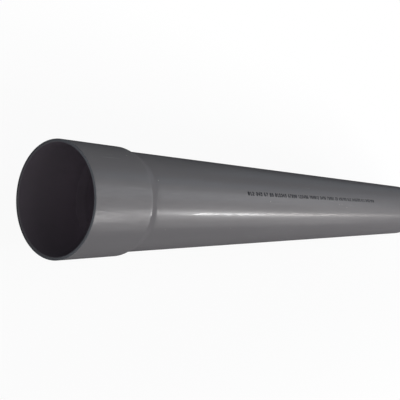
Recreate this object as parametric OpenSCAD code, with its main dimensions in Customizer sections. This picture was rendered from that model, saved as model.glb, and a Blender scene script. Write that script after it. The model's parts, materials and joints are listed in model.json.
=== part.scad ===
// Rigid PVC duct pipe for electric cable, with a solvent-weld socket formed on one end.
// One extruded piece: the end is heated and pushed over a mandrel, so the socket, its
// shoulder and the pipe all keep the same wall.
// Units are millimetres. The pipe's axis is level along X and the socket's mouth faces -X.

/* [Pipe] */
// Outside diameter of the plain pipe
pipe_od = 110; // [75:1:200]
// Wall thickness, the same along the pipe and round the socket
wall = 3.2; // [2:0.1:6]
// Overall length, from the socket's mouth to the plain end
overall_length = 1000; // [500:10:3000]

/* [Socket] */
// Play on the diameter between the socket and the pipe that goes into it
socket_play = 0.8; // [0.2:0.1:1.6]
// Depth of the straight part of the socket
socket_depth = 76; // [50:1:140]
// Slope of the shoulder, in degrees from the axis
shoulder_angle = 16; // [8:1:35]
// Radius inside the tight bend at the top of the shoulder, where the socket ends
crest_bend = 4; // [2:0.5:15]
// Radius outside the easy bend at the foot of the shoulder, where the pipe begins
foot_bend = 22; // [5:1:40]
// Size of the bevel inside the mouth that leads the next pipe in
mouth_bevel = 0.8; // [0.3:0.1:1.5]

/* [Plain end] */
// Length of the chamfer on the plain end
end_chamfer = 4; // [1:0.5:6]
// Slope of that chamfer, in degrees from the axis
chamfer_angle = 15; // [10:1:18]

/* [Hidden] */

// How round the piece is drawn
ROUND = 256;
// Straight steps in each bend of the shoulder
BEND_STEPS = 10;
// Break left on an edge by deburring
EDGE_BREAK = 0.3;
CONDUIT_GREY = [0.34, 0.34, 0.35];

pipe_r = pipe_od / 2;
socket_r = (pipe_od + socket_play) / 2;
bell_r = socket_r + wall;

// The shoulder is an S drawn on the middle of the wall: a bend in, a straight slope, a bend back.
// The two bends share the drop, so at the steepest slopes they are limited to what it leaves.
drop = bell_r - pipe_r;
widest_bends = drop / (1 - cos(shoulder_angle));
crest_r = min(crest_bend + wall / 2, widest_bends / 2);
foot_r = min(foot_bend + wall / 2, widest_bends - crest_r);
slope_drop = drop - (crest_r + foot_r) * (1 - cos(shoulder_angle));
slope_run = slope_drop / tan(shoulder_angle);
shoulder_end = socket_depth + (crest_r + foot_r) * sin(shoulder_angle) + slope_run;

crest_centre_r = bell_r - wall / 2 - crest_r;
foot_centre_r = pipe_r - wall / 2 + foot_r;
chamfer_drop = end_chamfer * tan(chamfer_angle);

// One skin of the shoulder as [radius, station] points, shifted outwards from the middle of the wall.
function shoulder_skin(shift) = [
    for (step = [0 : BEND_STEPS])
        let (turn = shoulder_angle * step / BEND_STEPS)
        [
            crest_centre_r + (crest_r + shift) * cos(turn),
            socket_depth + (crest_r + shift) * sin(turn)
        ],
    for (step = [BEND_STEPS : -1 : 0])
        let (turn = shoulder_angle * step / BEND_STEPS)
        [
            foot_centre_r - (foot_r - shift) * cos(turn),
            shoulder_end - (foot_r - shift) * sin(turn)
        ]
];

function backwards(points) = [for (i = [len(points) - 1 : -1 : 0]) points[i]];

// Half section of the whole piece as [radius, station], with the station counted from the mouth.
function half_section() = concat(
    [
        [socket_r + mouth_bevel, 0],
        [bell_r - EDGE_BREAK, 0],
        [bell_r, EDGE_BREAK]
    ],
    shoulder_skin(wall / 2),
    [
        [pipe_r, overall_length - end_chamfer],
        [pipe_r - chamfer_drop, overall_length],
        [pipe_r - wall + EDGE_BREAK, overall_length],
        [pipe_r - wall, overall_length - EDGE_BREAK]
    ],
    backwards(shoulder_skin(-wall / 2)),
    [[socket_r, mouth_bevel]]
);

// Socket, shoulder, pipe and chamfered end as one wall
module conduit() {
    color(CONDUIT_GREY)
    translate([-overall_length / 2, 0, bell_r])
    rotate([0, 90, 0])
    rotate_extrude($fn = ROUND)
    polygon(half_section());
}

conduit();
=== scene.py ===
"""Looks of a grey PVC duct pipe for electric cable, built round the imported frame.

The pipe lies along X with the mouth of its socket at the low end. One closed surface of
revolution carries the whole pipe, a line of dotted ink stands on it, and a pale floor,
soft lamps and a camera make the studio. Lengths are in metres unless a name says otherwise.
"""
import json
import logging
import math
from dataclasses import dataclass
from enum import Enum
from typing import Union

import bpy
import numpy as np
from mathutils import Matrix, Vector


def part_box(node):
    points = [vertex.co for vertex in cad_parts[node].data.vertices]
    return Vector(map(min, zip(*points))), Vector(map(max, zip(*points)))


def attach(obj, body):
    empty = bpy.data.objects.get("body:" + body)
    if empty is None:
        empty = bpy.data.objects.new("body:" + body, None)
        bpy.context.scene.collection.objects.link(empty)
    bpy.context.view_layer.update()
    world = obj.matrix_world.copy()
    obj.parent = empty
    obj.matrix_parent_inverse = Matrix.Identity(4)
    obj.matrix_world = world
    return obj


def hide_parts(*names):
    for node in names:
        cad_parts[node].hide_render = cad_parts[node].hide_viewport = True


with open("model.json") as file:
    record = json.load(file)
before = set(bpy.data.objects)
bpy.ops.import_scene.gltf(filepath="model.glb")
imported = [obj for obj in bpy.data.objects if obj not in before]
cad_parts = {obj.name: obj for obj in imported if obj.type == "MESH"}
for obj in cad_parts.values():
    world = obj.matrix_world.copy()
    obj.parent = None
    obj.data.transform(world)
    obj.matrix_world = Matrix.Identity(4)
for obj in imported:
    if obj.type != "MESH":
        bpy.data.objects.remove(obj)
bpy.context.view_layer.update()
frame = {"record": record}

LOG = logging.getLogger("conduit")
MM = 0.001

Colour = tuple[float, float, float]
Triple = tuple[float, float, float]
Span = tuple[float, float]
Link = bpy.types.NodeSocket
Paint = Union[Colour, Link]
Value = Union["Tone", float]

WHITE: Colour = (1.0, 1.0, 1.0)
UNMOVED: Triple = (0.0, 0.0, 0.0)
FULL_SIZE: Triple = (1.0, 1.0, 1.0)


# --------------------------------------------------------------------------- shader maths


@dataclass(frozen=True)
class Tone:
    """One number that changes over a surface: a shader socket that can be calculated with."""

    sheet: "NodeSheet"
    socket: Link

    def __add__(self, other: Value) -> "Tone":
        """The sum."""
        return self.sheet.maths("ADD", self, other)

    def __radd__(self, other: Value) -> "Tone":
        """The sum, with the number first."""
        return self.sheet.maths("ADD", other, self)

    def __sub__(self, other: Value) -> "Tone":
        """The difference."""
        return self.sheet.maths("SUBTRACT", self, other)

    def __rsub__(self, other: Value) -> "Tone":
        """The difference, with the number first."""
        return self.sheet.maths("SUBTRACT", other, self)

    def __mul__(self, other: Value) -> "Tone":
        """The product."""
        return self.sheet.maths("MULTIPLY", self, other)

    def __rmul__(self, other: Value) -> "Tone":
        """The product, with the number first."""
        return self.sheet.maths("MULTIPLY", other, self)

    def __pow__(self, other: Value) -> "Tone":
        """The power."""
        return self.sheet.maths("POWER", self, other)

    def __rpow__(self, other: Value) -> "Tone":
        """The power, with the number first."""
        return self.sheet.maths("POWER", other, self)

    def __abs__(self) -> "Tone":
        """The number without its sign."""
        return self.sheet.maths("ABSOLUTE", self)

    def __gt__(self, other: Value) -> "Tone":
        """1 where this is greater than the other, and 0 elsewhere."""
        return self.sheet.maths("GREATER_THAN", self, other)

    def __lt__(self, other: Value) -> "Tone":
        """1 where this is less than the other, and 0 elsewhere."""
        return self.sheet.maths("LESS_THAN", self, other)

    def at_least(self, lowest: float) -> "Tone":
        """The same number, or the lowest that is allowed."""
        return self.sheet.maths("MAXIMUM", self, lowest)

    def clipped(self) -> "Tone":
        """The same number, kept between 0 and 1."""
        return self.sheet.maths("MINIMUM", self.at_least(0.0), 1.0)

    def ramp(self, low: float, high: float) -> "Tone":
        """A smooth step.

        Args:
            low: the value at which the step starts.
            high: the value at which it ends, which may be less than low for a falling step.

        Returns:
            0 before low, 1 after high, and a smooth rise between.
        """
        node = self.sheet.add(
            "ShaderNodeMapRange",
            {"interpolation_type": "SMOOTHSTEP"},
            {"Value": self, "From Min": low, "From Max": high, "To Min": 0.0, "To Max": 1.0},
        )
        return self.sheet.tone(node, "Result")

    def near(self, middle: float, reach: float) -> "Tone":
        """1 at the middle, and a smooth fall to 0 at the reach on both sides of it."""
        return abs(self - middle).ramp(reach, 0.0)

    def between(self, rise: Span, fall: Span) -> "Tone":
        """0, then a smooth rise to 1 and a smooth fall to 0, each from its first value to its second."""
        return self.ramp(*rise) * self.ramp(fall[1], fall[0])


@dataclass(frozen=True)
class Grain:
    """A pattern of soft noise: where it lies, how it is stretched and what finer layers it has.

    The scale is how many pattern units there are in a metre, along each axis.
    """

    scale: Triple
    shift: Triple = UNMOVED
    detail: float = 2.0
    roughness: float = 0.5


class NodeSheet:
    """The node tree of one material or world, emptied and ready to be filled."""

    def __init__(self, owner: bpy.types.ID) -> None:
        """Empties the owner's node tree.

        Args:
            owner: a material or a world.
        """
        owner.use_nodes = True
        self.tree = owner.node_tree
        self.tree.nodes.clear()

    def add(self, kind: str, settings: dict | None = None, sockets: dict | None = None) -> bpy.types.Node:
        """Adds any node.

        Args:
            kind: the node's type.
            settings: its own settings, which are set first.
            sockets: values or links for its inputs, by name or by number.

        Returns:
            The new node.
        """
        node = self.tree.nodes.new(kind)
        for name, value in (settings or {}).items():
            setattr(node, name, value)
        for name, value in (sockets or {}).items():
            source = value.socket if isinstance(value, Tone) else value
            if isinstance(source, Link):
                self.tree.links.new(source, node.inputs[name])
            else:
                node.inputs[name].default_value = source
        return node

    def maths(self, operation: str, first: Value, second: Value = 0.0) -> Tone:
        """The result of a Math node's operation on one value or on two."""
        node = self.add("ShaderNodeMath", {"operation": operation}, {0: first, 1: second})
        return self.tone(node, "Value")

    def tone(self, node: bpy.types.Node, output: str) -> Tone:
        """One output of a node as a number to calculate with."""
        return Tone(self, node.outputs[output])

    def place(self, shift: Triple = UNMOVED, scale: Triple = FULL_SIZE) -> Link:
        """The object's own coordinates, moved and then stretched.

        Args:
            shift: what is added to each coordinate, in metres.
            scale: how many pattern units there are in a metre, along each axis.

        Returns:
            A vector socket.
        """
        where = self.add("ShaderNodeTexCoord").outputs["Object"]
        moved = self.add("ShaderNodeVectorMath", {"operation": "ADD"}, {0: where, 1: shift})
        sockets = {0: moved.outputs[0], 1: scale}
        return self.add("ShaderNodeVectorMath", {"operation": "MULTIPLY"}, sockets).outputs[0]

    def axes(self, shift: Triple = UNMOVED) -> list[Tone]:
        """The object's own X, Y and Z, each with its part of the shift added."""
        parts = self.add("ShaderNodeSeparateXYZ", sockets={0: self.place(shift)})
        return [self.tone(parts, axis) for axis in "XYZ"]

    def noise(self, grain: Grain) -> Tone:
        """Soft noise about 0.5.

        Args:
            grain: the pattern.

        Returns:
            A number from 0 to 1.
        """
        sockets = {"Vector": self.place(grain.shift, grain.scale), "Scale": 1.0}
        layers = {"Detail": grain.detail, "Roughness": grain.roughness}
        return self.tone(self.add("ShaderNodeTexNoise", sockets={**sockets, **layers}), "Fac")

    def mix(self, share: Value, first: Paint, second: Paint) -> Link:
        """Mixes two colours. A plain colour gets its fourth number, and a link stays as it is.

        Args:
            share: how much of the second there is.
            first: the first colour.
            second: the second colour.

        Returns:
            A colour socket.
        """
        whole = [paint if isinstance(paint, Link) else (*paint, 1.0) for paint in (first, second)]
        node = self.add("ShaderNodeMix", {"data_type": "RGBA"}, {0: share, 6: whole[0], 7: whole[1]})
        return node.outputs[2]

    def bump(self, height: Tone, distance: float, below: Link | None = None) -> Link:
        """A relief that only bends the normal.

        Args:
            height: the relief from 0 to 1.
            distance: how far 1 stands above 0, in metres.
            below: the normal that this relief lies on.

        Returns:
            A normal socket.
        """
        sockets = {"Height": height, "Distance": distance, "Strength": 1.0}
        if below is not None:
            sockets["Normal"] = below
        return self.add("ShaderNodeBump", sockets=sockets).outputs["Normal"]

    def blend(self, share: Tone, first: bpy.types.Node, second: bpy.types.Node) -> bpy.types.Node:
        """Blends two shaders, where the share is how much of the second there is."""
        return self.add("ShaderNodeMixShader", sockets={0: share, 1: first.outputs[0], 2: second.outputs[0]})

    def surface(self, shader: bpy.types.Node, kind: str = "ShaderNodeOutputMaterial") -> None:
        """Joins the last shader to the output."""
        self.add(kind, sockets={"Surface": shader.outputs[0]})


# --------------------------------------------------------------------------- sizes


@dataclass(frozen=True)
class PipeSizes:
    """The pipe's sizes as the frame gives them. A station is the distance from the mouth."""

    mouth_x: float
    axis_z: float
    length: float
    pipe_r: float
    bore_r: float
    socket_r: float
    mouth_bevel: float
    socket_end: float
    shoulder_end: float
    chamfer_start: float
    edge_break: float = 0.3 * MM

    @property
    def wall(self) -> float:
        """The wall's thickness."""
        return self.pipe_r - self.bore_r

    @property
    def bell_r(self) -> float:
        """The socket's outer radius."""
        return self.socket_r + self.wall

    @classmethod
    def from_frame(cls, record: dict) -> "PipeSizes":
        """Reads the sizes from the record's mounts and the CAD node's box.

        Args:
            record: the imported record.

        Returns:
            The sizes.
        """
        low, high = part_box("conduit")
        mounts = {mount["name"]: mount for mount in record["mounts"]}
        run = {name: mount["dims"]["length_mm"] * MM for name, mount in mounts.items()}
        radius = {name: mount["dims"]["r_mm"] * MM for name, mount in mounts.items()}
        length = high.x - low.x
        socket_middle = mounts["socket"]["pos_m"][0] - low.x
        shoulder_end = length - cls.edge_break - run["duct_bore"]
        return cls(
            mouth_x=low.x,
            axis_z=mounts["socket"]["pos_m"][2],
            length=length,
            pipe_r=radius["spigot"],
            bore_r=radius["duct_bore"],
            socket_r=radius["socket"],
            mouth_bevel=socket_middle - run["socket"] / 2,
            socket_end=socket_middle + run["socket"] / 2,
            shoulder_end=shoulder_end,
            chamfer_start=shoulder_end + run["spigot"],
        )

    def on_skin(self, station: np.ndarray, radius: np.ndarray, climb: np.ndarray) -> np.ndarray:
        """Points given round the axis, in the frame's coordinates.

        X is the station from the mouth. Y is minus the radius times the cosine of the climb, and
        Z is the radius times its sine above the axis, so a climb of 0 faces -Y and 90 degrees is the top.

        Args:
            station: distances from the mouth.
            radius: distances from the axis.
            climb: angles above the level through the axis, in radians.

        Returns:
            The points, with three coordinates in the last place.
        """
        along = self.mouth_x + station
        across = -radius * np.cos(climb)
        height = self.axis_z + radius * np.sin(climb)
        return np.stack(np.broadcast_arrays(along, across, height), axis=-1)


# --------------------------------------------------------------------------- meshes


def mesh_object(name: str, points: np.ndarray, faces: np.ndarray) -> bpy.types.Object:
    """Puts arrays of points and faces into a new smooth-shaded object at the origin.

    Args:
        name: the object's name.
        points: rows of three coordinates.
        faces: one row of point numbers for each face.

    Returns:
        The object, linked to the scene.
    """
    mesh = bpy.data.meshes.new(name)
    mesh.from_pydata(points.reshape(-1, 3).tolist(), [], faces.tolist())
    mesh.polygons.foreach_set("use_smooth", np.full(len(mesh.polygons), True))
    mesh.update()
    piece = bpy.data.objects.new(name, mesh)
    bpy.context.scene.collection.objects.link(piece)
    return piece


def wrapped_grid(rows: int, columns: int) -> np.ndarray:
    """The four-sided faces of a grid that closes on itself both ways.

    Each face joins a point with the next in its row, and both with the same two in the next row.

    Args:
        rows: points one way.
        columns: points the other way.

    Returns:
        Four point numbers a face.
    """
    row, column = np.meshgrid(np.arange(rows), np.arange(columns), indexing="ij")
    next_row = (row + 1) % rows
    next_column = (column + 1) % columns
    corners = [(row, column), (next_row, column), (next_row, next_column), (row, next_column)]
    return np.stack([r * columns + c for r, c in corners], axis=-1).reshape(-1, 4)


@dataclass(frozen=True)
class Corner:
    """A corner of an outline, and how it is rounded."""

    station: float
    radius: float
    bend: float
    steps: int = 4

    @property
    def place(self) -> np.ndarray:
        """Its station and radius as an array."""
        return np.array([self.station, self.radius])


def rounded_corner(before: np.ndarray, corner: Corner, after: np.ndarray) -> np.ndarray:
    """The arc that touches both lines of a corner.

    Half the corner's inner angle gives the arc's two tangent points and, on the line that halves
    the angle, its centre. The points then turn about that centre in even steps.

    Args:
        before: a point on the line that comes in.
        corner: the corner.
        after: a point on the line that goes out.

    Returns:
        Rows of station and radius.
    """
    back = (before - corner.place) / np.linalg.norm(before - corner.place)
    onward = (after - corner.place) / np.linalg.norm(after - corner.place)
    half = math.acos(float(np.clip(back @ onward, -1.0, 1.0))) / 2
    first = corner.place + back * corner.bend / math.tan(half)
    middle = back + onward
    centre = corner.place + middle / np.linalg.norm(middle) * corner.bend / math.sin(half)
    side = math.copysign(1.0, back[1] * onward[0] - back[0] * onward[1])
    turn = side * np.linspace(0.0, math.pi - 2 * half, corner.steps + 1)
    spoke = first - centre
    across = np.array([-spoke[1], spoke[0]])
    return centre + np.cos(turn)[:, None] * spoke + np.sin(turn)[:, None] * across


def straight_run(start: np.ndarray, end: np.ndarray, pitch: float, margin: float) -> np.ndarray:
    """Points inside a straight stretch.

    The first and last are a margin from its ends, so that the shading of a rounded corner stays
    beside it, and the rest are evenly spaced between those.

    Args:
        start: station and radius of its start.
        end: station and radius of its end.
        pitch: the widest step between two points.
        margin: how far the first and last are from the ends.

    Returns:
        Rows of station and radius.
    """
    length = float(np.linalg.norm(end - start))
    if length < 3 * margin:
        return np.empty((0, 2))
    steps = max(1, math.ceil((length - 2 * margin) / pitch))
    share = np.linspace(margin / length, 1 - margin / length, steps + 1)[:, None]
    return start + (end - start) * share


def rounded_outline(corners: list[Corner], pitch: float, margin: float) -> np.ndarray:
    """A closed outline with every corner rounded and every straight stretch divided.

    Args:
        corners: the corners in order.
        pitch: the widest step along a straight stretch.
        margin: how far the first and last points of a stretch are from its ends.

    Returns:
        Rows of station and radius.
    """
    places = [corner.place for corner in corners]
    count = len(corners)
    arcs = [rounded_corner(places[i - 1], corners[i], places[(i + 1) % count]) for i in range(count)]
    stretches = [straight_run(arcs[i][-1], arcs[(i + 1) % count][0], pitch, margin) for i in range(count)]
    return np.concatenate([part for pair in zip(arcs, stretches) for part in pair])


# Plain digits, seven rows of five dots each.
DIGIT_ROWS = (
    ("01110", "10001", "10011", "10101", "11001", "10001", "01110"),
    ("00100", "01100", "00100", "00100", "00100", "00100", "01110"),
    ("01110", "10001", "00001", "00110", "01000", "10000", "11111"),
    ("01110", "10001", "00001", "00110", "00001", "10001", "01110"),
    ("00010", "00110", "01010", "10010", "11111", "00010", "00010"),
    ("11111", "10000", "11110", "00001", "00001", "10001", "01110"),
    ("01110", "10000", "10000", "11110", "10001", "10001", "01110"),
    ("11111", "00001", "00010", "00100", "01000", "01000", "01000"),
    ("01110", "10001", "10001", "01110", "10001", "10001", "01110"),
    ("01110", "10001", "10001", "01111", "00001", "00001", "01110"),
)


def dotted_digit(digit: int) -> np.ndarray:
    """The dots of one plain digit: seven rows of five, with 1 where there is ink."""
    return np.array([[int(dot) for dot in row] for row in DIGIT_ROWS[digit]])


# --------------------------------------------------------------------------- finishes


@dataclass(frozen=True)
class Speck:
    """One speck of dust: its station, its climb in degrees and its radius."""

    station: float
    climb: float
    radius: float


@dataclass(frozen=True)
class SkinMap:
    """What the pipe's finish reads at a point: where the point is, and the masks and patterns there."""

    station: Tone
    side: Tone
    height: Tone
    sawn: Tone
    extruded: Tone
    inside: Tone
    scuffs: Tone
    specks: Tone
    die_lines: Tone
    mottle: Tone


@dataclass(frozen=True)
class PvcFinish:
    """Extruded grey PVC: a satin skin with die lines, a plainer bore with painted fill light, sawn ends with
    painted light and shade, and a little dust.

    The skin is glossy where it is seen squarely and dull where it is seen from the side, under a
    thin streaky polish. The shoulder, which was formed hot, is duller than the rest.
    """

    # Colours.
    grey: Colour = (0.1435, 0.1385, 0.1445)
    pale_grey: Colour = (0.1565, 0.1515, 0.1575)
    # The bore's own purplish grey, made paler than the skin's as painted fill light, and a much paler grey
    # that is painted fill light deep in the bore.
    bore_and_painted_fill_grey: Colour = (0.158, 0.136, 0.157)
    painted_fill_grey: Colour = (0.305, 0.252, 0.305)
    # The sawn faces' grey as a painted shaded copy and a painted lit copy, blended by side.
    painted_shade_sawn_grey: Colour = (0.046, 0.048, 0.054)
    painted_lit_sawn_grey: Colour = (0.148, 0.156, 0.173)
    scuffed_grey: Colour = (0.20, 0.20, 0.20)
    dust: Colour = (0.36, 0.34, 0.31)

    # How far each pattern or mask moves the colour.
    mottle_tint: float = 1.6
    die_line_tint: float = 0.5
    scuff_tint: float = 0.5
    speck_tint: float = 0.75
    # How far the mouth's bevel takes on the sawn faces' painted light and shade.
    bevel_tint: float = 0.60
    # How much of the painted fill light the bore's slope loses: a painted shade.
    slope_shade: float = 0.42

    # Roughness, and how far each pattern or mask moves it.
    skin_roughness: float = 0.24
    bore_roughness: float = 0.36
    sawn_roughness: float = 0.52
    dull_roughness: float = 0.9
    mottle_roughness: float = 0.10
    scuff_roughness: float = 0.12
    speck_roughness: float = 0.3

    # Gloss and polish.
    gloss: float = 0.28
    gloss_reach: float = 1.45
    formed_dulled: float = 0.4
    coat: float = 0.20
    coat_roughness: float = 0.04
    crest_polish: float = 0.2
    crest_reach: float = 2 * MM
    foot_dulled: float = 0.85
    foot_reach: float = 8 * MM

    # Where the bore's painted fill light and the shoulder change. The first is a share of the socket's
    # depth.
    painted_fill_start: float = 0.2
    painted_fill_end: float = 0.45
    slope_eases: Span = (2 * MM, 4 * MM)
    formed_eases: Span = (3 * MM, 4 * MM)
    formed_past: float = 2 * MM
    # The climb towards which the sawn faces are painted lighter.
    painted_light_side: float = math.radians(60)

    # Relief.
    die_line_height: float = 0.010 * MM
    dimple_height: float = 0.020 * MM
    saw_mark_height: float = 0.03 * MM

    # Patterns, and the span of each over which it comes in.
    die_lines: Grain = Grain((1.1, 330.0, 330.0), roughness=0.6)
    dimples: Grain = Grain((75.0, 240.0, 240.0))
    mottle: Grain = Grain((9.0, 24.0, 24.0), shift=(0.1, 0.0, 0.0), detail=3.0, roughness=0.55)
    saw_marks: Grain = Grain((200.0, 420.0, 2600.0), roughness=0.6)
    streaks: Grain = Grain((70.0, 700.0, 700.0), shift=(0.0, 0.3, 0.0), detail=1.0)
    streak_span: Span = (0.36, 0.62)
    hairs: Grain = Grain((14.0, 900.0, 900.0), shift=(0.3, 0.0, 0.0), detail=1.0)
    hair_span: Span = (0.66, 0.76)
    patches: Grain = Grain((16.0, 26.0, 26.0), shift=(0.0, 0.2, 0.0), detail=1.0)
    patch_span: Span = (0.56, 0.68)

    # Dust: scattered points, of which some carry a small speck, and a few larger specks.
    dust_shift: Triple = (0.013, 0.007, 0.002)
    dust_scale: Triple = (38.0, 38.0, 38.0)
    dust_edge: Span = (0.034, 0.020)
    dust_left_out: float = 0.45
    speck_core: float = 0.55
    specks: tuple[Speck, ...] = (
        Speck(0.095, 84.8, 0.7 * MM),
        Speck(0.112, 28.7, 0.5 * MM),
        Speck(0.323, 66.4, 0.9 * MM),
        Speck(0.556, 66.2, 0.9 * MM),
        Speck(0.566, 66.4, 0.8 * MM),
        Speck(0.587, 61.4, 1.0 * MM),
    )
    name: str = "grey_pvc"

    def sawn(self, sizes: PipeSizes, station: Tone, radius: Tone) -> Tone:
        """1 on the sawn faces and on the chamfer of the plain end.

        Args:
            sizes: the pipe's sizes.
            station: the distance from the mouth.
            radius: the distance from the axis.

        Returns:
            The mask.
        """
        face = sizes.edge_break / 2
        mouth = (station < face) * (radius > sizes.socket_r + sizes.mouth_bevel)
        chamfer = (station > sizes.chamfer_start) * (radius > sizes.pipe_r - sizes.wall / 2)
        end = station > sizes.length - face
        return (mouth + chamfer + end).clipped()

    def inside(self, sizes: PipeSizes, station: Tone, radius: Tone) -> Tone:
        """1 on the bore's skin: nearer the axis than the middle of the wall, which narrows at the shoulder.

        Args:
            sizes: the pipe's sizes.
            station: the distance from the mouth.
            radius: the distance from the axis.

        Returns:
            The mask.
        """
        narrowed = station.ramp(sizes.socket_end, sizes.shoulder_end)
        middle = (sizes.bell_r - sizes.wall / 2) - narrowed * (sizes.bell_r - sizes.pipe_r)
        return radius < middle

    def placed_specks(self, sheet: NodeSheet, sizes: PipeSizes) -> Tone:
        """The few larger specks, each a round spot about its own point on the skin.

        Args:
            sheet: the nodes to add to.
            sizes: the pipe's sizes.

        Returns:
            The mask.
        """
        where = sheet.place()
        mask: Value = 0.0
        for speck in self.specks:
            round_skin = (speck.station, sizes.pipe_r, math.radians(speck.climb))
            spot = sizes.on_skin(*map(np.array, round_skin)).tolist()
            gap = sheet.add("ShaderNodeVectorMath", {"operation": "DISTANCE"}, {0: where, 1: tuple(spot)})
            mask = sheet.tone(gap, "Value").ramp(speck.radius, self.speck_core * speck.radius) + mask
        return mask.clipped()

    def dust_specks(self, sheet: NodeSheet) -> Tone:
        """Round specks far apart: the near neighbourhood of scattered points, for some of them only.

        Args:
            sheet: the nodes to add to.

        Returns:
            The mask.
        """
        grid = sheet.place(self.dust_shift, self.dust_scale)
        cells = sheet.add("ShaderNodeTexVoronoi", {"feature": "F1"}, {"Vector": grid, "Scale": 1.0})
        pick = sheet.add("ShaderNodeSeparateColor", sockets={0: cells.outputs["Color"]})
        near = sheet.tone(cells, "Distance").ramp(*self.dust_edge)
        return near * (sheet.tone(pick, "Red") > self.dust_left_out)

    def scuffs(self, sheet: NodeSheet) -> Tone:
        """Short fine rubs along the pipe: thin ridges of stretched noise, kept to a few patches."""
        hairs = sheet.noise(self.hairs).ramp(*self.hair_span)
        return hairs * sheet.noise(self.patches).ramp(*self.patch_span)

    def skin_map(self, sheet: NodeSheet, sizes: PipeSizes) -> SkinMap:
        """Reads the place, the masks and the shared patterns.

        The radius is the hypotenuse of the distances to the side of the axis and above it. Scuffs
        and dust lie on the skin and not on what was sawn, and dust lies only outside.

        Args:
            sheet: the nodes to add to.
            sizes: the pipe's sizes.

        Returns:
            What the finish reads.
        """
        station, side, height = sheet.axes((-sizes.mouth_x, 0.0, -sizes.axis_z))
        radius = (side * side + height * height) ** 0.5
        sawn = self.sawn(sizes, station, radius)
        extruded = 1.0 - sawn
        inside = self.inside(sizes, station, radius)
        specks = (self.dust_specks(sheet) + self.placed_specks(sheet, sizes)).clipped()
        return SkinMap(
            station=station,
            side=side,
            height=height,
            sawn=sawn,
            extruded=extruded,
            inside=inside,
            scuffs=self.scuffs(sheet) * extruded,
            specks=specks * extruded * (1.0 - inside),
            die_lines=sheet.noise(self.die_lines),
            mottle=sheet.noise(self.mottle),
        )

    def bore_colour_with_painted_fill(self, sheet: NodeSheet, sizes: PipeSizes, station: Tone) -> Link:
        """The bore's colour with painted fill light: paler with depth, less so on the shoulder's slope,
        which is painted shade, and plain grey far in.

        Args:
            sheet: the nodes to add to.
            sizes: the pipe's sizes.
            station: the distance from the mouth.

        Returns:
            A colour socket.
        """
        two_sockets = 2 * sizes.socket_end
        slope_start, slope_end = self.slope_eases
        # Painted fill light: the bore is painted paler deeper in, and plain grey again far in.
        rise = (self.painted_fill_start * sizes.socket_end, sizes.shoulder_end)
        painted_fill = station.between(rise, (two_sockets, self.painted_fill_end))
        # Painted shade: the shoulder's slope loses part of the painted fill light.
        rise = (sizes.socket_end, sizes.socket_end + slope_start)
        sloped = station.between(rise, (sizes.shoulder_end - slope_end, sizes.shoulder_end))
        bore = sheet.mix(painted_fill * (1.0 - sloped * self.slope_shade), self.bore_and_painted_fill_grey, self.painted_fill_grey)
        return sheet.mix(station.ramp(two_sockets, self.painted_fill_end), bore, self.grey)

    def painted_light_sawn_colour(self, sheet: NodeSheet, sizes: PipeSizes, skin: SkinMap) -> Link:
        """The colour of the sawn faces, with painted light and shade: paler towards one side and darker away
        from it.
        """
        # Painted light and shade on the sawn faces, lighter towards the painted light side.
        across = skin.height * math.sin(self.painted_light_side) - skin.side * math.cos(self.painted_light_side)
        return sheet.mix(across.ramp(-sizes.bell_r, sizes.bell_r), self.painted_shade_sawn_grey, self.painted_lit_sawn_grey)

    def colour(self, sheet: NodeSheet, sizes: PipeSizes, skin: SkinMap) -> Link:
        """The whole colour: skin, bore with painted fill light, sawn faces with the mouth's bevel in painted
        light and shade, scuffs and dust, in that order.

        Args:
            sheet: the nodes to add to.
            sizes: the pipe's sizes.
            skin: what the finish reads.

        Returns:
            A colour socket.
        """
        tone = 0.5 + (skin.mottle - 0.5) * self.mottle_tint + (skin.die_lines - 0.5) * self.die_line_tint
        outer = sheet.mix(tone.clipped(), self.grey, self.pale_grey)
        # The bore, with its painted fill light.
        colour = sheet.mix(skin.inside, outer, self.bore_colour_with_painted_fill(sheet, sizes, skin.station))
        # The sawn faces, and part of the same on the mouth's bevel, with painted light and shade.
        bevel = (skin.station < sizes.mouth_bevel) * skin.inside
        cut = (skin.sawn + bevel * self.bevel_tint).clipped()
        colour = sheet.mix(cut, colour, self.painted_light_sawn_colour(sheet, sizes, skin))
        colour = sheet.mix(skin.scuffs * self.scuff_tint, colour, self.scuffed_grey)
        return sheet.mix(skin.specks * self.speck_tint, colour, self.dust)

    def roughness(self, skin: SkinMap) -> Tone:
        """The roughness of the glossy shader.

        Args:
            skin: what the finish reads.

        Returns:
            The roughness.
        """
        satin = self.skin_roughness + skin.inside * (self.bore_roughness - self.skin_roughness)
        satin = satin + (skin.mottle - 0.5) * self.mottle_roughness
        satin = satin + skin.scuffs * self.scuff_roughness + skin.specks * self.speck_roughness
        return (satin * skin.extruded + skin.sawn * self.sawn_roughness).clipped()

    def relief(self, sheet: NodeSheet, skin: SkinMap) -> Link:
        """The normal, bent by die lines and dimples on the skin and by saw marks on the sawn faces.

        Args:
            sheet: the nodes to add to.
            skin: what the finish reads.

        Returns:
            A normal socket.
        """
        normal = sheet.bump(skin.die_lines * skin.extruded, self.die_line_height)
        normal = sheet.bump(sheet.noise(self.dimples) * skin.extruded, self.dimple_height, normal)
        return sheet.bump(sheet.noise(self.saw_marks) * skin.sawn, self.saw_mark_height, normal)

    def polish(self, sheet: NodeSheet, sizes: PipeSizes, skin: SkinMap) -> Tone:
        """The streaky polish outside: more of it along the shoulder's crest, and little at its foot.

        Args:
            sheet: the nodes to add to.
            sizes: the pipe's sizes.
            skin: what the finish reads.

        Returns:
            The weight of the coat.
        """
        crest = skin.station.near(sizes.socket_end, self.crest_reach) * self.crest_polish
        foot = skin.station.near(sizes.shoulder_end, self.foot_reach) * self.foot_dulled
        streaks = sheet.noise(self.streaks).ramp(*self.streak_span) * self.coat
        coat = (streaks * (1.0 - foot) + crest) * skin.extruded
        return (coat * (1.0 - skin.inside) * (1.0 - skin.specks)).clipped()

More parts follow.
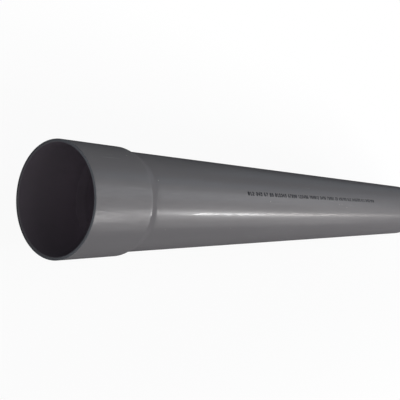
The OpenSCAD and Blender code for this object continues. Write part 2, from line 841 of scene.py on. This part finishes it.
    def dull_share(self, sheet: NodeSheet, sizes: PipeSizes, station: Tone) -> Tone:
        """How much of the dull shader shows: none where the surface is seen squarely, and more to the side.

        The glossy share is the square of how squarely the surface is seen, times the gloss's reach,
        and a part of it is taken off on the shoulder.

        Args:
            sheet: the nodes to add to.
            sizes: the pipe's sizes.
            station: the distance from the mouth.

        Returns:
            The share.
        """
        turned_away = sheet.tone(sheet.add("ShaderNodeLayerWeight", sockets={"Blend": 0.5}), "Facing")
        start, end = self.formed_eases
        rise = (sizes.socket_end, sizes.socket_end + start)
        formed = station.between(rise, (sizes.shoulder_end - end, sizes.shoulder_end + self.formed_past))
        glossy = ((1.0 - turned_away) ** 2.0 * self.gloss_reach).clipped()
        return 1.0 - glossy * (1.0 - formed * self.formed_dulled)

    def material(self, sizes: PipeSizes) -> bpy.types.Material:
        """Makes the material.

        Args:
            sizes: the pipe's sizes, which say where its ends and its shoulder are.

        Returns:
            The material.
        """
        material = bpy.data.materials.new(self.name)
        sheet = NodeSheet(material)
        skin = self.skin_map(sheet, sizes)
        both = {"Base Color": self.colour(sheet, sizes, skin), "Normal": self.relief(sheet, skin)}
        coat = {"Coat Weight": self.polish(sheet, sizes, skin), "Coat Roughness": self.coat_roughness}
        satin = {"Roughness": self.roughness(skin), "Specular IOR Level": self.gloss}
        matt = {"Roughness": self.dull_roughness, "Specular IOR Level": 0.0}
        glossy = sheet.add("ShaderNodeBsdfPrincipled", sockets={**both, **coat, **satin})
        dull = sheet.add("ShaderNodeBsdfPrincipled", sockets={**both, **matt})
        sheet.surface(sheet.blend(self.dull_share(sheet, sizes, skin.station), glossy, dull))
        return material


@dataclass(frozen=True)
class InkFinish:
    """Blue-black ink, sprayed on in dots and thinner in places."""

    ink: Colour = (0.005, 0.006, 0.011)
    thin_ink: Colour = (0.018, 0.019, 0.028)
    coverage: Grain = Grain((400.0, 700.0, 700.0))
    thin_span: Span = (0.45, 0.75)
    roughness: float = 0.5
    roughness_spread: float = 0.2
    gloss: float = 0.08
    name: str = "dark_ink"

    def material(self) -> bpy.types.Material:
        """Makes the material.

        Returns:
            The material.
        """
        material = bpy.data.materials.new(self.name)
        sheet = NodeSheet(material)
        coverage = sheet.noise(self.coverage)
        sockets = {
            "Base Color": sheet.mix(coverage.ramp(*self.thin_span), self.ink, self.thin_ink),
            "Roughness": self.roughness + coverage * self.roughness_spread,
            "Specular IOR Level": self.gloss,
        }
        sheet.surface(sheet.add("ShaderNodeBsdfPrincipled", sockets=sockets))
        return material


# --------------------------------------------------------------------------- the pipe


@dataclass
class ConduitPipe:
    """The whole pipe, socket and all, as one closed surface of revolution."""

    sizes: PipeSizes
    finish: PvcFinish
    crest_bend: float = 4 * MM
    foot_bend: float = 22 * MM
    chamfer_angle: float = math.radians(15)
    sides: int = 288
    pitch: float = 9 * MM
    margin: float = 0.3 * MM
    bend_steps: int = 8

    def shoulder_slope(self) -> float:
        """The slope of the S-shaped shoulder, from the drop and the run that the frame gives it.

        With the straight part between its two bends taken out, the run times the sine of the slope
        plus (the bends less the drop) times its cosine equals the bends, where the bends are the
        sum of the two radii at the middle of the wall. The phase of that sum gives the slope.

        Returns:
            The slope in radians.
        """
        s = self.sizes
        bends = self.crest_bend + self.foot_bend + s.wall
        rest = bends - (s.bell_r - s.pipe_r)
        along = s.shoulder_end - s.socket_end
        return math.asin(bends / math.hypot(along, rest)) - math.atan2(rest, along)

    def corners(self) -> list[Corner]:
        """The corners of the wall's section, round the outside from the mouth and back inside.

        Returns:
            The corners in order.
        """
        s = self.sizes
        half = math.tan(self.shoulder_slope() / 2)
        outer_crest, inner_crest = self.crest_bend + s.wall, self.crest_bend
        outer_foot, inner_foot = self.foot_bend, self.foot_bend + s.wall
        end_r = s.pipe_r - (s.length - s.chamfer_start) * math.tan(self.chamfer_angle)
        return [
            Corner(0.0, s.bell_r, s.edge_break),
            Corner(s.socket_end + outer_crest * half, s.bell_r, outer_crest, self.bend_steps),
            Corner(s.shoulder_end - outer_foot * half, s.pipe_r, outer_foot, self.bend_steps),
            Corner(s.chamfer_start, s.pipe_r, s.edge_break),
            Corner(s.length, end_r, s.edge_break),
            Corner(s.length, s.bore_r, s.edge_break),
            Corner(s.shoulder_end - inner_foot * half, s.bore_r, inner_foot, self.bend_steps),
            Corner(s.socket_end + inner_crest * half, s.socket_r, inner_crest, self.bend_steps),
            Corner(s.mouth_bevel, s.socket_r, s.edge_break / 2),
            Corner(0.0, s.socket_r + s.mouth_bevel, s.edge_break / 2),
        ]

    def build(self) -> bpy.types.Object:
        """Turns the section about the axis: the station and radius go round in even angles.

        Returns:
            The finished piece.
        """
        section = rounded_outline(self.corners(), self.pitch, self.margin)
        climb = np.linspace(0.0, 2 * math.pi, self.sides, endpoint=False)
        points = self.sizes.on_skin(section[:, :1], section[:, 1:], climb[None, :])
        pipe = mesh_object("duct_pipe", points, wrapped_grid(len(section), self.sides))
        pipe.data.materials.append(self.finish.material(self.sizes))
        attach(pipe, "root")
        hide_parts("conduit")
        return pipe


@dataclass
class PrintLine:
    """A line of plain counting numbers, sprayed along the pipe in dots of ink."""

    sizes: PipeSizes
    finish: InkFinish
    start: float = 0.268
    climb: float = math.radians(76.0)
    digit_pitch: float = 5.66 * MM
    blank: float = 0.65
    column_pitch: float = 0.74 * MM
    row_pitch: float = 0.66 * MM
    dot_length: float = 1.80 * MM
    dot_width: float = 1.50 * MM
    proud: float = 0.04 * MM
    sunk: float = 0.05 * MM
    scatter: float = 0.10 * MM
    size_spread: float = 0.08
    seed: int = 11
    ring: int = 8
    groups: tuple[int, ...] = (3, 3, 2, 2, 6, 5, 6, 6, 4, 5, 2, 6, 3, 7, 3, 8)

    def lit_dots(self) -> np.ndarray:
        """Where the dots are, in a flat frame.

        Each digit is five columns by seven rows. The digits are in counting order, in groups with
        a blank after each, and the blank is given as a share of a digit's pitch.

        Returns:
            Rows of distance along the line and height above its middle.
        """
        group_of = np.repeat(np.arange(len(self.groups)), self.groups)
        starts = (np.arange(len(group_of)) + group_of * self.blank) * self.digit_pitch
        middle_row = (len(DIGIT_ROWS[0]) - 1) / 2
        places = []
        for count, start in enumerate(starts):
            rows, columns = np.nonzero(dotted_digit(count % len(DIGIT_ROWS)))
            along = start + columns * self.column_pitch
            places.append(np.stack([along, (middle_row - rows) * self.row_pitch], axis=-1))
        return np.concatenate(places)

    def build(self) -> bpy.types.Object:
        """Lays a flat lens of ink on the pipe for each dot.

        A lens is a ring of points with one point above and one below its middle. Round the ring,
        the distance along the pipe follows the cosine and the distance round it the sine.

        Returns:
            The finished piece.
        """
        dots = self.lit_dots()
        draw = np.random.default_rng(self.seed)
        dots = dots + draw.normal(0.0, self.scatter, dots.shape)
        size = 1.0 + draw.normal(0.0, self.size_spread, (len(dots), 1))
        turn = np.linspace(0.0, 2 * math.pi, self.ring, endpoint=False)
        along = np.append(np.cos(turn), [0.0, 0.0])[None, :] * self.dot_length / 2 * size
        across = np.append(np.sin(turn), [0.0, 0.0])[None, :] * self.dot_width / 2 * size
        lift = np.append(np.full(self.ring, self.proud / 2), [self.proud, -self.sunk])[None, :]
        station = self.start + dots[:, :1] + along
        climb = self.climb + (dots[:, 1:] + across) / self.sizes.pipe_r
        points = self.sizes.on_skin(station, self.sizes.pipe_r + lift, climb)
        first = np.arange(self.ring)
        after = (first + 1) % self.ring
        top = np.stack([np.full(self.ring, self.ring), first, after], axis=-1)
        bottom = np.stack([np.full(self.ring, self.ring + 1), after, first], axis=-1)
        lens = np.concatenate([top, bottom])
        faces = (np.arange(len(dots))[:, None, None] * (self.ring + 2) + lens).reshape(-1, 3)
        line = mesh_object("number_line", points, faces)
        line.data.materials.append(self.finish.material())
        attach(line, "root")
        return line


# --------------------------------------------------------------------------- the studio


@dataclass(frozen=True)
class Rig:
    """The directions that the camera and lamps are placed by, round the pipe's axis.

    A place is a station, a distance from the axis and a climb above the level through the axis,
    on the side that the camera is on.
    """

    sizes: PipeSizes

    def outward(self, climb: float) -> Vector:
        """The direction from the axis at a climb in degrees."""
        angle = math.radians(climb)
        return Vector((0.0, -math.cos(angle), math.sin(angle)))

    def place(self, station: float, reach: float, climb: float) -> Vector:
        """The point at a station, a distance from the axis and a climb in degrees."""
        return Vector((self.sizes.mouth_x + station, 0.0, self.sizes.axis_z)) + reach * self.outward(climb)


@dataclass(frozen=True)
class SoftBox:
    """A plain rectangular lamp with two sides along the pipe. Its climb is in degrees."""

    name: str
    station: float
    climb: float
    along: float
    across: float
    radiance: float
    tint: Colour = WHITE
    reach: float = 3.0

    def build(self, rig: Rig) -> None:
        """Makes the lamp, turned towards the pipe's axis.

        Its power is its radiance times pi times its area.

        Args:
            rig: the directions round the pipe.
        """
        lamp = bpy.data.lights.new(self.name, "AREA")
        lamp.shape = "RECTANGLE"
        lamp.size = self.along
        lamp.size_y = self.across
        lamp.energy = self.radiance * math.pi * self.along * self.across
        lamp.color = self.tint
        holder = bpy.data.objects.new(self.name, lamp)
        outward = rig.outward(self.climb)
        along = Vector((1.0, 0.0, 0.0))
        turned = Matrix((along, outward.cross(along), outward)).transposed().to_4x4()
        holder.matrix_world = Matrix.Translation(rig.place(self.station, self.reach, self.climb)) @ turned
        holder.visible_camera = False
        bpy.context.scene.collection.objects.link(holder)


@dataclass(frozen=True)
class StudioCamera:
    """The camera, placed round the pipe's axis. Angles are in degrees, and the lens in millimetres."""

    stand_before: float = 0.36489
    reach: float = 0.44412
    climb: float = 60.0
    aim_station: float = 0.23644
    aim_above: float = 0.00498
    roll: float = -1.7334
    lens: float = 52.26

    def build(self, rig: Rig) -> None:
        """Makes the camera and sets it as the scene's.

        Its top first points a quarter turn further round the axis than its place, as nearly as its
        line of sight lets it, and is then rolled.

        Args:
            rig: the directions round the pipe.
        """
        upward = rig.outward(self.climb + 90.0)
        eye = rig.place(-self.stand_before, self.reach, self.climb)
        aim = rig.place(self.aim_station, 0.0, 0.0) + self.aim_above * upward
        forward = (aim - eye).normalized()
        right = forward.cross(upward).normalized()
        top = right.cross(forward)
        roll = math.radians(self.roll)
        up = math.cos(roll) * top + math.sin(roll) * right
        side = forward.cross(up)
        turned = Matrix((side, up, -forward)).transposed().to_4x4()
        lens = bpy.data.cameras.new("camera")
        lens.lens = self.lens
        camera = bpy.data.objects.new("camera", lens)
        camera.matrix_world = Matrix.Translation(eye) @ turned
        bpy.context.scene.collection.objects.link(camera)
        bpy.context.scene.camera = camera


class Ray(Enum):
    """The kinds of ray that see the surround itself rather than its light."""

    CAMERA = "Is Camera Ray"
    GLOSSY = "Is Glossy Ray"
    CLEAR = "Is Transmission Ray"


@dataclass(frozen=True)
class Studio:
    """A pale floor, a white surround, soft lamps and the camera.

    Beside the pipe the floor looks near white, and it turns to plain white between two distances.
    """

    rig: Rig
    lamps: tuple[SoftBox, ...]
    camera: StudioCamera = StudioCamera()
    floor_side: float = 12.0
    floor_tone: Colour = (0.80, 0.80, 0.80)
    near_white: float = 0.94
    shadow_from: float = 0.12
    shadow_to: float = 0.50
    fill: Colour = (0.167, 0.176, 0.187)

    def seen(self, sheet: NodeSheet) -> Tone:
        """1 for rays that see the surround directly, in a reflection or through glass, and 0 for light.

        Args:
            sheet: the nodes to add to.

        Returns:
            The mask.
        """
        path = sheet.add("ShaderNodeLightPath")
        camera, glossy, clear = (sheet.tone(path, ray.value) for ray in Ray)
        return (camera + glossy + clear).clipped()

    def build_world(self) -> None:
        """Makes a surround that looks white and gives a low, even fill."""
        world = bpy.data.worlds.new("surround")
        bpy.context.scene.world = world
        sheet = NodeSheet(world)
        colour = sheet.mix(self.seen(sheet), self.fill, WHITE)
        background = sheet.add("ShaderNodeBackground", sockets={"Color": colour, "Strength": 1.0})
        sheet.surface(background, "ShaderNodeOutputWorld")

    def build_floor(self) -> None:
        """Makes the floor, a flat sheet under the pipe that looks white and keeps a soft shadow.

        The share of plain white in its look grows with the distance from the pipe, which is the
        hypotenuse of the distance to the side of it and the distance past its ends.
        """
        sizes = self.rig.sizes
        half = self.floor_side / 2
        points = np.array([[-half, -half, 0.0], [half, -half, 0.0], [half, half, 0.0], [-half, half, 0.0]])
        floor = mesh_object("floor", points, np.array([[0, 1, 2, 3]]))
        material = bpy.data.materials.new("pale_floor")
        sheet = NodeSheet(material)
        paper = sheet.add("ShaderNodeBsdfDiffuse", sockets={"Color": (*self.floor_tone, 1.0)})
        white = sheet.add("ShaderNodeEmission", sockets={"Color": (*WHITE, 1.0), "Strength": 1.0})
        along, beside, _ = sheet.axes()
        past_end = (abs(along) - sizes.length / 2).at_least(0.0)
        away = (beside * beside + past_end * past_end) ** 0.5
        look = self.near_white + (1.0 - self.near_white) * away.ramp(self.shadow_from, self.shadow_to)
        sheet.surface(sheet.blend(self.seen(sheet) * look, paper, white))
        floor.data.materials.append(material)

    def build(self) -> None:
        """Makes everything round the pipe."""
        self.camera.build(self.rig)
        self.build_world()
        self.build_floor()
        for lamp in self.lamps:
            lamp.build(self.rig)
        bpy.context.scene.view_settings.view_transform = "Standard"


# The tints of daylight at a window, of the far panes, and of the sky.
DAY: Colour = (1.024, 0.996, 0.990)
WARM: Colour = (1.045, 0.995, 0.96)
COOL: Colour = (0.77, 0.99, 1.19)
LAMPS = (
    # Broad windows, which light the whole side in view.
    SoftBox("near_window", station=3.600, climb=42.0, along=2.00, across=6.664, radiance=1.91, tint=DAY),
    SoftBox("middle_window", station=5.800, climb=42.0, along=2.40, across=6.664, radiance=1.95, tint=DAY),
    SoftBox("far_window", station=8.800, climb=42.0, along=3.60, across=6.664, radiance=3.26, tint=DAY),
    # Soft glows, which widen the bright line.
    SoftBox("first_glow", station=2.650, climb=29.0, along=0.90, across=1.166, radiance=6.75, tint=DAY),
    SoftBox("near_glow", station=3.500, climb=32.0, along=0.80, across=1.275, radiance=2.30, tint=DAY),
    SoftBox("middle_glow", station=4.850, climb=32.0, along=1.90, across=1.496, radiance=1.46, tint=DAY),
    SoftBox("far_glow", station=7.900, climb=32.0, along=4.20, across=1.496, radiance=0.58, tint=DAY),
    # Narrow panes, whose reflection is the bright line.
    SoftBox("bright_pane", station=4.300, climb=35.0, along=0.60, across=0.260, radiance=28.00),
    SoftBox("thin_pane", station=4.720, climb=34.0, along=1.46, across=0.260, radiance=47.50),
    SoftBox("far_pane", station=6.335, climb=34.0, along=1.75, across=0.320, radiance=23.50, tint=WARM),
    SoftBox("last_pane", station=9.360, climb=34.0, along=4.30, across=0.320, radiance=7.60, tint=WARM),
    # The sky overhead, and weak light from behind.
    SoftBox("upper_sky", station=6.600, climb=79.0, along=8.00, across=1.166, radiance=0.59, tint=COOL),
    SoftBox("near_back", station=6.050, climb=169.0, along=2.90, across=2.303, radiance=0.64, tint=COOL),
    SoftBox("far_back", station=10.750, climb=169.0, along=6.50, across=2.303, radiance=1.10, tint=COOL),
    SoftBox("top_sky", station=6.600, climb=96.0, along=8.00, across=0.843, radiance=1.15),
    SoftBox("rear_sky", station=6.600, climb=113.0, along=8.00, across=0.950, radiance=0.76, tint=COOL),
    # Light into the mouth.
    SoftBox("front_fill", station=-0.600, climb=35.0, along=1.00, across=1.306, radiance=0.71, reach=1.4),
    SoftBox("front_light", station=-1.750, climb=60.0, along=0.70, across=0.804, radiance=2.17, reach=1.5),
)


def main() -> None:
    """Builds the pipe and the studio, and reports each piece."""
    logging.basicConfig(level=logging.INFO, format="%(name)s: %(message)s")
    sizes = PipeSizes.from_frame(frame["record"])
    pieces = [ConduitPipe(sizes, PvcFinish()).build(), PrintLine(sizes, InkFinish()).build()]
    Studio(Rig(sizes), LAMPS).build()
    for piece in pieces:
        LOG.info("%s: %d faces", piece.name, len(piece.data.polygons))


if __name__ == "__main__":
    main()
